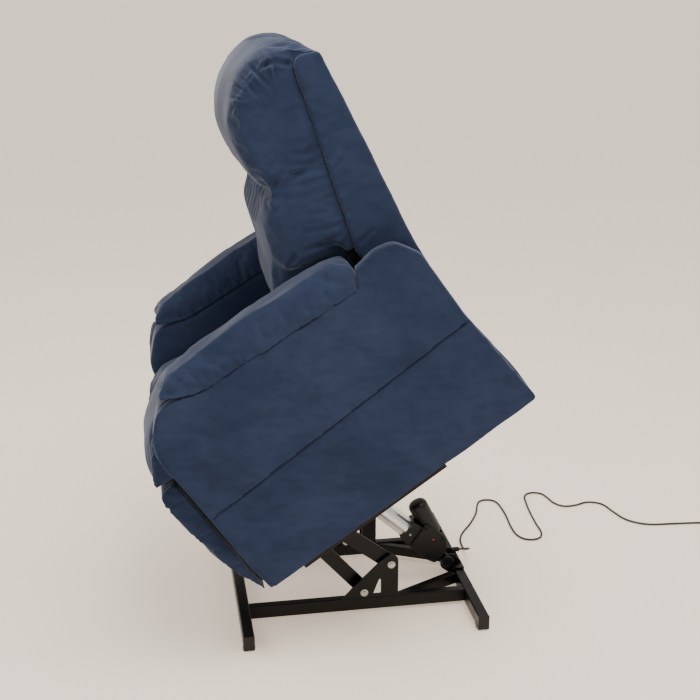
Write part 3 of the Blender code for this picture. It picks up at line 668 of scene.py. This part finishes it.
def raise_top(piece):
    """Fills the panel's top edge out to the lower edge of the arm pad."""
    points = get_points(piece.data)
    below = pad_bottom(points[:, 1]) - 0.0016 - points[:, 2]
    under_pad = smoothstep(points[:, 1], 0.120, 0.180) * (1 - smoothstep(points[:, 1], 0.600, 0.625))
    near_top = 1 - smoothstep(np.abs(below), 0.001, 0.014)
    points[:, 2] += 0.0030 * near_top * under_pad * (points[:, 2] > 0.4)
    set_points(piece.data, points)


def side_panels():
    """The outer panel of each arm: cloth stretched over board, in two pieces that meet in a lapped seam."""
    piece = solid_of("side_skin_left", ["side_panel_left"])
    remesh(piece, 0.006, 3, 0.0006)
    raise_top(piece)
    refine(piece)
    lapped_seam(piece, SIDE_OUT)
    a, b = Vector(SEAM[0]), Vector(SEAM[1])
    down = Vector((b.y - a.y, a.x - b.x)).normalized()
    row = [(SIDE_OUT, *(a.lerp(b, share) + down * 0.012)) for share in (0.02, 0.5, 0.98)]
    crease(piece, row, 0.0026, 0.0009, taper=False)
    both_sides("seam_stitches", stitches("seam_stitches_left", piece, row), "seat_body", THREAD)
    for number, gap in ((1, 0.0), (2, 0.006)):
        row = [(SIDE_OUT, s - gap * (s > 0.75), t - gap * (s < 0.775)) for s, t in WING_EDGE]
        crease(piece, row, 0.0032, 0.0012, taper=False)
        sewn = stitches(f"wing_stitches_{number}_left", piece, row)
        both_sides(f"wing_stitches_{number}", sewn, "seat_body", THREAD)
    start = np.array([(SIDE_OUT, 0.004, 0.262), (SIDE_OUT, 0.020, 0.2555), (SIDE_OUT, 0.045, 0.2510)])
    crease(piece, start, 0.006, 0.0030)
    undulate(piece, 0.17, 0.0011, 3)
    undulate(piece, 0.06, 0.0003, 4)
    edge = [(SIDE_OUT - 0.0015, s - 0.001, t) for s, t in FRONT_EDGE]
    both_sides("front_welt", piping("front_welt_left", piece, edge, 0.0026), "seat_body", FABRIC)
    upholster(mirrored(piece, "side_skin_right"), "seat_body", 0.5, "side_panel_right")
    upholster(piece, "seat_body", 0.5, "side_panel_left")


def arm_boxes():
    """The inner face and the front of each arm."""
    piece = solid_of("arm_inner_left", ["arm_box_left"])
    remesh(piece, 0.007, 4, 0.001)
    refine(piece)
    undulate(piece, 0.15, 0.0012, 11)
    front = [(0.300, -0.010, 0.440), (0.300, 0.010, 0.500), (0.300, 0.060, 0.545)]
    pucker(piece, front, 0.030, 0.0012, 0.030, 12)
    upholster(mirrored(piece, "arm_inner_right"), "seat_body", 0.5, "arm_box_right")
    upholster(piece, "seat_body", 0.5, "arm_box_left")


def rear_rail():
    piece = solid_of("rear_skin", ["rear_rail"])
    remesh(piece, 0.005, 3, 0.0)
    refine(piece)
    undulate(piece, 0.12, 0.0006, 13)
    upholster(piece, "seat_body", 0.4, "rear_rail")


def pad_bottom(s):
    """Height of the arm pad's lower edge, over the length of the arm."""
    return np.interp(s, (0.096, 0.162, 0.190, 0.6145), (0.5640, 0.5335, 0.5268, 0.5016))


def draw_to_panel(piece):
    """Draws an arm pad's sewn edges down onto the panel, and its rear end back against the wing."""
    points = get_points(piece.data)
    bottom = pad_bottom(points[:, 1])
    height = points[:, 2] - bottom
    edge = smoothstep(np.abs(points[:, 0] - 0.3155), 0.058, 0.068) * smoothstep(points[:, 1], 0.10, 0.16)
    drawn = height - 0.0110 * edge * (1 - smoothstep(height, 0.002, 0.032))
    points[:, 2] = bottom + np.where(edge > 0, np.maximum(drawn, np.minimum(height, 0.0004)), height)
    points[:, 1] += 0.0030 * smoothstep(points[:, 1], 0.580, 0.625)
    set_points(piece.data, points)


# Creases of the arm pad, each a path of (x, s, t) with its width and depth.
PAD_CREASES = (
    ([(0.345, 0.150, 0.592), (0.372, 0.152, 0.580), (0.389, 0.160, 0.560)], 0.008, 0.0040),
    ([(0.330, 0.110, 0.588), (0.362, 0.108, 0.576), (0.385, 0.116, 0.556)], 0.007, 0.0035),
    ([(0.300, 0.092, 0.584), (0.340, 0.090, 0.572), (0.372, 0.096, 0.562)], 0.006, 0.0025),
    ([(0.352, 0.225, 0.590), (0.378, 0.250, 0.574), (0.386, 0.290, 0.556)], 0.010, 0.0030),
    ([(0.350, 0.560, 0.572), (0.378, 0.575, 0.560), (0.388, 0.600, 0.535)], 0.009, 0.0025),
    ([(0.260, 0.180, 0.588), (0.300, 0.200, 0.592), (0.340, 0.215, 0.590)], 0.009, 0.0020),
)


def arm_pads():
    """The pillow on each arm: a full roll, sewn down along both of its lower edges."""
    piece = solid_of("arm_cushion_left", ["arm_pad_left"])
    remesh(piece, 0.005, 5, 0.0030, lambda p: smoothstep(p[:, 2] - pad_bottom(p[:, 1]), 0.004, 0.026))
    inflate(piece, lambda p: 1 - smoothstep(p[:, 2] - pad_bottom(p[:, 1]), 0.004, 0.010), 4.0, 0.014)
    draw_to_panel(piece)
    refine(piece, 1)
    for side, seed in ((ARM_IN - 0.004, 21), (SIDE_OUT + 0.003, 22)):
        seam = [(side, s, float(pad_bottom(s)) + 0.007) for s in (0.110, 0.160, 0.380, 0.600)]
        pucker(piece, seam, 0.018, 0.0010, 0.024, seed)
    for path, width, depth in PAD_CREASES:
        crease(piece, path, width, depth)
    undulate(piece, 0.10, 0.0016, 23)
    upholster(mirrored(piece, "arm_cushion_right"), "seat_body", 0.7, "arm_pad_right")
    upholster(piece, "seat_body", 0.7, "arm_pad_left")


SEAT_WELT = ((-0.095, 0.345), (-0.070, 0.390), (-0.025, 0.448), (0.10, 0.450), (0.40, 0.430))


def seat():
    piece = solid_of("seat_pad", ["seat_cushion"])
    remesh(piece, 0.007, 8, 0.007, lambda p: 0.5 * smoothstep(p[:, 2], 0.36, 0.44))
    inflate(piece, lambda p: (p[:, 2] < 0.262) | ((np.abs(p[:, 0]) > 0.225) & (p[:, 2] < 0.40)), 4.0, 0.022)
    refine(piece, 2)
    for side in (LEFT, RIGHT):
        edge = [(side * 0.236, s, t) for s, t in SEAT_WELT]
        crease(piece, edge, 0.004, 0.0030, taper=False)
        pucker(piece, edge, 0.032, 0.0018, 0.032, 31 + side)
    undulate(piece, 0.14, 0.0018, 33)
    upholster(piece, "seat_body", 0.8, "seat_cushion")


# Wrinkles of the back's sides, each from its rear end to its front end in (s, t), with its depth.
BACK_WRINKLES = (
    ((0.716, 0.762), (0.640, 0.800), 0.0050),
    ((0.722, 0.782), (0.655, 0.812), 0.0042),
    ((0.724, 0.806), (0.668, 0.842), 0.0036),
    ((0.706, 0.742), (0.628, 0.770), 0.0036),
    ((0.632, 0.812), (0.578, 0.790), 0.0070),
    ((0.640, 0.842), (0.590, 0.826), 0.0040),
    ((0.652, 0.870), (0.606, 0.862), 0.0030),
    ((0.622, 0.752), (0.556, 0.744), 0.0028),
    ((0.664, 0.606), (0.560, 0.628), 0.0055),
    ((0.672, 0.630), (0.590, 0.664), 0.0042),
    ((0.682, 0.664), (0.622, 0.700), 0.0030),
    ((0.560, 0.640), (0.500, 0.610), 0.0050),
)
CAP_SEAM = [(0.628, 0.985), (0.644, 1.012), (0.670, 1.0270), (0.708, 1.0300), (0.737, 1.0345),
            (0.770, 1.0220), (0.792, 1.0020)]


def crown(piece):
    """The pillows are fullest in their middle: their fronts and the top fall back towards both sides."""
    points = get_points(piece.data)
    share = 0.075 * (points[:, 0] / 0.276) ** 2 * smoothstep(points[:, 2], 0.50, 0.62)
    for axis, anchor in ((1, 0.740), (2, 0.787)):
        from_anchor = points[:, axis] - anchor
        inward = (from_anchor < 0) if axis == 1 else (from_anchor > 0)
        points[:, axis] -= share * from_anchor * inward
    set_points(piece.data, points)


def close_gusset(piece):
    """Draws the rear edges of the pillows back against the gusset and the top of the cover."""
    points = get_points(piece.data)
    before = rear_of(points[:, 2]) - points[:, 1]
    on_side = (1 - smoothstep(before, 0.004, 0.034)) * (points[:, 2] < 0.990)
    points[:, 1] += np.clip(before - 0.0006, 0, 0.0050) * on_side
    above = points[:, 2] - (1.0085 - 0.40 * (points[:, 1] - 0.815))
    on_top = (1 - smoothstep(above, 0.004, 0.030)) * (points[:, 1] > 0.795)
    points[:, 2] -= np.clip(above - 0.0008, 0, 0.0050) * on_top
    set_points(piece.data, points)


def back_cushions():
    """Head and lumbar pillows under one cloth: it is drawn in where they meet, and gathered under the cap."""
    piece = solid_of("back_pillows", ["lumbar_cushion", "head_cushion"])
    add_block(piece, (-0.273, 0.273), (0.590, 0.705), (0.770, 0.800))
    for side in (LEFT, RIGHT):
        add_block(piece, sorted((side * 0.240, side * 0.2755)), (0.705, 0.735), (0.775, 0.795))

    def before_seam(p):
        """How far a point lies in front of the gusset seam."""
        return rear_of(p[:, 2]) - p[:, 1]

    def plump(p):
        waist = smoothstep(np.abs(p[:, 2] - 0.787), 0.005, 0.050)
        return smoothstep(before_seam(p), 0.015, 0.090) * waist * smoothstep(p[:, 2], 0.30, 0.36)

    def held(p):
        """The seam to the gusset, the inside against the frame, and the tuck between the pillows."""
        behind = (before_seam(p) < 0.010) & (p[:, 2] < 1.0)
        inside = (before_seam(p) < 0.034) & (np.abs(p[:, 0]) < 0.246) & (p[:, 2] < 0.96)
        tuck = (np.abs(p[:, 2] - 0.787) < 0.005) & (p[:, 1] < 0.60)
        return behind | inside | tuck | (p[:, 2] < 0.30)

    remesh(piece, 0.006, 5, 0.004, plump)
    crown(piece)
    inflate(piece, held, 2.0, 0.008)
    close_gusset(piece)
    refine(piece, 2)
    for side in (LEFT, RIGHT):
        x = side * 0.274
        cap = [(x, s, t) for s, t in CAP_SEAM]
        crease(piece, cap, 0.0055, 0.0075, taper=False)
        pucker(piece, cap, 0.040, 0.0045, 0.020, 41 + side)
        gusset = [(x, float(rear_of(t)) - 0.004, t) for t in (0.560, 0.780, 0.985)]
        pucker(piece, gusset, 0.022, 0.0012, 0.030, 43 + side)
        for start, end, depth in BACK_WRINKLES:
            middle = (np.array(start) + end) / 2 + (0.002, -0.005)
            crease(piece, [(x, *start), (x, *middle), (x, *end)], 0.0065, depth)
    across = [(x, 0.572, 0.787 + 0.002 * math.sin(20 * x)) for x in np.linspace(-0.270, 0.270, 16)]
    crease(piece, across, 0.010, 0.005, taper=False)
    pucker(piece, across, 0.050, 0.0020, 0.050, 45)
    undulate(piece, 0.13, 0.0022, 46)
    upholster(piece, "backrest", 0.8, "lumbar_cushion", "head_cushion")


def back_cover():
    """The gusset and the rear of the back, drawn tight over the frame."""
    piece = solid_of("back_shell", ["back_cover"])
    remesh(piece, 0.005, 2, 0.0004)
    refine(piece)
    for side in (LEFT, RIGHT):
        x = side * 0.283
        for start, end in (((0.734, 0.762), (0.784, 0.792)), ((0.730, 0.742), (0.778, 0.752)),
                           ((0.676, 0.560), (0.740, 0.572))):
            crease(piece, [(x, *start), (x, *end)], 0.006, 0.0024)
        seam = [(x, float(rear_of(t)) + 0.002, t) for t in (0.560, 0.780, 0.980)]
        pucker(piece, seam, 0.020, 0.0010, 0.034, 51 + side)
    undulate(piece, 0.16, 0.0014, 53)
    upholster(piece, "backrest", 0.4, "back_cover")


def footrest_pad():
    """The footrest's pad, sewn across into channels."""
    piece = solid_of("footrest_cushion", ["footrest_pad"])
    remesh(piece, 0.006, 5, 0.004)
    channels = (0.277, 0.160, 0.040)

    def held(p):
        sewn = np.zeros(len(p), bool)
        for t in channels:
            sewn |= np.abs(p[:, 2] - t) < 0.004
        return (p[:, 1] > -0.056) | (sewn & (p[:, 1] < -0.06))

    inflate(piece, held, 4.0, 0.010)
    refine(piece, 1)
    for number, t in enumerate(channels):
        face = -0.106 + 0.10 * max(0.16 - t, 0)
        for side in (LEFT, RIGHT):
            crease(piece, [(side * 0.236, -0.060, t), (side * 0.236, face, t)], 0.005, 0.0035, taper=False)
        across = [(x, face, t) for x in np.linspace(-0.236, 0.236, 14)]
        crease(piece, across, 0.005, 0.0045, taper=False)
        pucker(piece, across, 0.030, 0.0018, 0.030, 60 + number)
    undulate(piece, 0.10, 0.0014, 64)
    upholster(piece, "footrest", 0.8, "footrest_pad")


def handset_pocket():
    piece = solid_of("pocket_cloth", ["handset_pocket"])
    remesh(piece, 0.0012, 3, 0.0)
    refine(piece)
    upholster(piece, "seat_body", 0.1, "handset_pocket")


# ---------------------------------------------------------------- hard parts

METAL = {
    "steel": painted_steel(),
    "zinc": zinc(),
    "plastic": plastic("black_plastic", (0.005, 0.005, 0.005), 0.42),
    "clear": clear_plastic(),
    "red": red_lamp(),
}


def finish_solids():
    """Gives every CAD node that stays the finish of its slot."""
    finishes = {
        "black_painted_steel": METAL["steel"],
        "zinc_plated_steel": METAL["zinc"],
        "brushed_aluminium": aluminium(),
        "black_plastic": METAL["plastic"],
        "grey_plastic": plastic("grey_plastic", (0.45, 0.46, 0.48)),
        "black_lined_board": lined_board(),
        "cord_rubber": rubber(),
        "navy_microfibre": FABRIC,
    }
    for entry in frame["record"]["subparts"]:
        node = nodes[entry["node"]]
        node.data.materials.clear()
        node.data.materials.append(finishes[entry["material_slot"]])


def mesh_piece(name, bm, place, body, material):
    """A finished hard piece from a mesh built about its own origin."""
    mesh = bpy.data.meshes.new(name)
    bmesh.ops.recalc_face_normals(bm, faces=bm.faces)
    bm.to_mesh(mesh)
    bm.free()
    mesh.transform(place)
    mesh.materials.append(material)
    mesh.shade_smooth()
    mesh.set_sharp_from_angle(angle=math.radians(32))
    piece = link(name, mesh)
    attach(piece, body)
    return piece


def lathe(profile, sides, notch=None):
    """Turns (x, radius) points about X. The notch function scales the radius at each of the sides."""
    bm = bmesh.new()
    rings = []
    for x, radius in profile:
        ring = []
        for k in range(sides):
            angle = 2 * math.pi * k / sides
            size = radius * (notch(k) if notch else 1)
            ring.append(bm.verts.new((x, size * math.cos(angle), size * math.sin(angle))))
        rings.append(ring)
    for low, high in zip(rings, rings[1:]):
        for k in range(sides):
            j = (k + 1) % sides
            bm.faces.new((low[k], low[j], high[j], high[k]))
    bm.faces.new(rings[0])
    bm.faces.new(reversed(rings[-1]))
    return bm


def hex_heads():
    """Flanged hexagon heads on the four bolts of the lift stands."""
    for level in ("lower", "upper"):
        for name, side in (("left", LEFT), ("right", RIGHT)):
            low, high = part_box(f"{level}_base_bolt_{name}")
            centre = (low + high) / 2
            face = (high.x if side > 0 else low.x) - side * 0.0058
            place = Matrix.Translation((face, centre.y, centre.z)) @ Matrix.Diagonal((side, 1, 1, 1))
            flange = lathe([(0.0, 0.0104), (0.0010, 0.0108), (0.0018, 0.0104), (0.0024, 0.0090)], 40)
            nut = lathe([(0.0020, 0.0086), (0.0064, 0.0086), (0.0074, 0.0074), (0.0074, 0.0056),
                         (0.0052, 0.0052), (0.0052, 0.0042), (0.0068, 0.0036)], 6)
            for part, bm in (("flange", flange), ("hex", nut)):
                mesh_piece(f"{level}_{part}_{name}", bm, place, "lift_base", METAL["zinc"])


def pivot_caps():
    """Ribbed black caps on both ends of the actuator's rear pin."""
    low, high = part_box("motor_pin")
    centre = (low + high) / 2
    for name, side in (("left", LEFT), ("right", RIGHT)):
        face = centre.x + side * 0.0230
        place = Matrix.Translation((face, centre.y, centre.z)) @ Matrix.Diagonal((side, 1, 1, 1))
        cap = lathe([(0.0, 0.0185), (0.0085, 0.0185), (0.0105, 0.0165), (0.0105, 0.0120), (0.0080, 0.0105),
                     (0.0080, 0.0040)], 72, lambda k: 1.0 if k % 4 < 2 else 0.945)
        mesh_piece(f"pivot_cap_{name}", cap, place, "lift_base", METAL["plastic"])


def glides():
    """Clear glides under the crossbars' ends."""
    for row in ("front", "rear"):
        low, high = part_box(f"crossbar_{row}")
        for name, side in (("left", LEFT), ("right", RIGHT)):
            place = Matrix.Translation((MIDDLE + side * 0.3045, (low.y + high.y) / 2, 0)) @ Matrix.Rotation(
                -math.pi / 2, 4, "Y")
            ring = lathe([(0.0004, 0.0150), (0.0014, 0.0176), (0.0040, 0.0184), (0.0060, 0.0170)], 40)
            mesh_piece(f"glide_{row}_{name}", ring, place, "lift_base", METAL["clear"])


def actuator_frame():
    """The actuator's own frame: X across the chair, u along the tube and v square to both."""
    low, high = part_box("actuator_tube")
    pivot = Vector(joints["actuator_swing"]["pos_m"])
    along = ((low + high) / 2 - pivot) * Vector((0, 1, 1))
    along.normalize()
    across = Vector((1, 0, 0)).cross(along)
    return Matrix.Translation(pivot) @ Matrix(((1, 0, 0), along, across)).transposed().to_4x4()


# Centres of the gearbox's screws, as (x, u, v). The first is silver, the others are black.
GEARBOX_SCREWS = ((0.0285, 0.1457, 0.0029), (0.0330, 0.0560, 0.0200), (0.0330, 0.1200, 0.0190),
                  (0.0330, 0.0640, -0.0460), (0.0330, 0.1230, -0.0400))
GEARBOX_LAMP = (0.0330, 0.0828, -0.0275)
GEARBOX_RIM = ((0.062, -0.0535), (0.074, -0.0560), (0.128, -0.0500), (0.1295, -0.0440), (0.1225, 0.0240),
               (0.116, 0.0285), (0.062, 0.0300), (0.040, 0.0220), (0.034, 0.0), (0.040, -0.0330),
               (0.062, -0.0535))


def actuator_details():
    """Screws, lamp and rims of the gearbox."""
    place = actuator_frame()
    for number, spot in enumerate(GEARBOX_SCREWS):
        screw = lathe([(-0.0008, 0.0036), (0.0010, 0.0034), (0.0016, 0.0026), (0.0007, 0.0012)], 20)
        metal, slot = ("steel", "black_painted_steel") if number else ("zinc", "zinc_plated_steel")
        mesh_piece(f"gearbox_screw_{number}", screw, place @ Matrix.Translation(spot), "actuator",
                   METAL[metal])
    lamp = lathe([(-0.0008, 0.0034), (0.0004, 0.0032), (0.0008, 0.0018)], 20)
    spot = place @ Matrix.Translation(GEARBOX_LAMP)
    mesh_piece("gearbox_lamp", lamp, spot, "actuator", METAL["red"])
    for name, x in (("near", 0.0333), ("far", -0.0333)):
        gearbox_rim(name, x, place)


def gearbox_rim(name, x, place):
    """The raised rim where the two halves of the gearbox's case meet, on one side of it."""
    data = bpy.data.curves.new(f"gearbox_rim_{name}", "CURVE")
    data.dimensions = "3D"
    data.bevel_depth = 0.0011
    data.bevel_resolution = 3
    spline = data.splines.new("POLY")
    spline.points.add(len(GEARBOX_RIM) - 1)
    for point, (u, v) in zip(spline.points, GEARBOX_RIM):
        point.co = (*(place @ Vector((x, u, v))), 1)
    data.materials.append(METAL["plastic"])
    rim = link(f"gearbox_rim_{name}", data)
    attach(rim, "actuator")


def soften_edges():
    """Gives the hard CAD nodes the slightly broken edges that catch the light."""
    hard = ("black_painted_steel", "black_plastic", "grey_plastic", "zinc_plated_steel")
    for entry in frame["record"]["subparts"]:
        if entry["material_slot"] in hard:
            bevel = nodes[entry["node"]].modifiers.new("Edge", "BEVEL")
            bevel.width = 0.0007
            bevel.segments = 2
            bevel.limit_method = "ANGLE"
            bevel.angle_limit = math.radians(42)
            bevel.use_clamp_overlap = True


# ---------------------------------------------------------------- surroundings

def studio_floor():
    shader = Shader("floor", (0.92, 0.84, 0.75), 0.50)
    shader.set("Emission Color", (1.0, 0.80, 0.62, 1))
    shader.set("Emission Strength", 0.50)
    shader.link(shader.ramp(shader.noise(1.3, 3.0), (0.3, (0.90, 0.82, 0.73)), (0.7, (0.94, 0.86, 0.77))),
                shader.surface, "Base Color")
    bm = bmesh.new()
    bmesh.ops.create_grid(bm, x_segments=1, y_segments=1, size=80)
    mesh = bpy.data.meshes.new("floor")
    bm.to_mesh(mesh)
    bm.free()
    floor = link("floor", mesh)
    floor.location.z = -0.0002
    mesh.materials.append(shader.material)


def studio_light():
    world = bpy.data.worlds.new("World")
    bpy.context.scene.world = world
    world.use_nodes = True
    background = world.node_tree.nodes["Background"]
    background.inputs["Color"].default_value = (1.0, 0.94, 0.87, 1)
    background.inputs["Strength"].default_value = 0.85
    for name, place, aim, size, power, colour in (
        ("overhead", (0.9, 0.5, 3.8), (0, 0.1, 0.5), 2.2, 115, (1.0, 0.93, 0.84)),
        ("front_wash", (-1.6, -3.0, 2.6), (0, 0, 0.9), 1.8, 20, (1.0, 0.95, 0.88)),
        ("near_fill", (3.6, -0.8, 1.1), (0, 0, 0.4), 1.2, 8, (1.0, 0.95, 0.90)),
    ):
        data = bpy.data.lights.new(name, "AREA")
        data.size = size
        data.energy = power
        data.color = colour
        lamp = link(name, data)
        lamp.location = place
        lamp.rotation_mode = "QUATERNION"
        lamp.rotation_quaternion = (Vector(aim) - Vector(place)).to_track_quat("-Z", "Y")


camera()
cord()
finish_solids()
side_panels()
arm_boxes()
rear_rail()
arm_pads()
seat()
back_cushions()
back_cover()
footrest_pad()
handset_pocket()
hex_heads()
pivot_caps()
glides()
actuator_details()
soften_edges()
studio_floor()
studio_light()
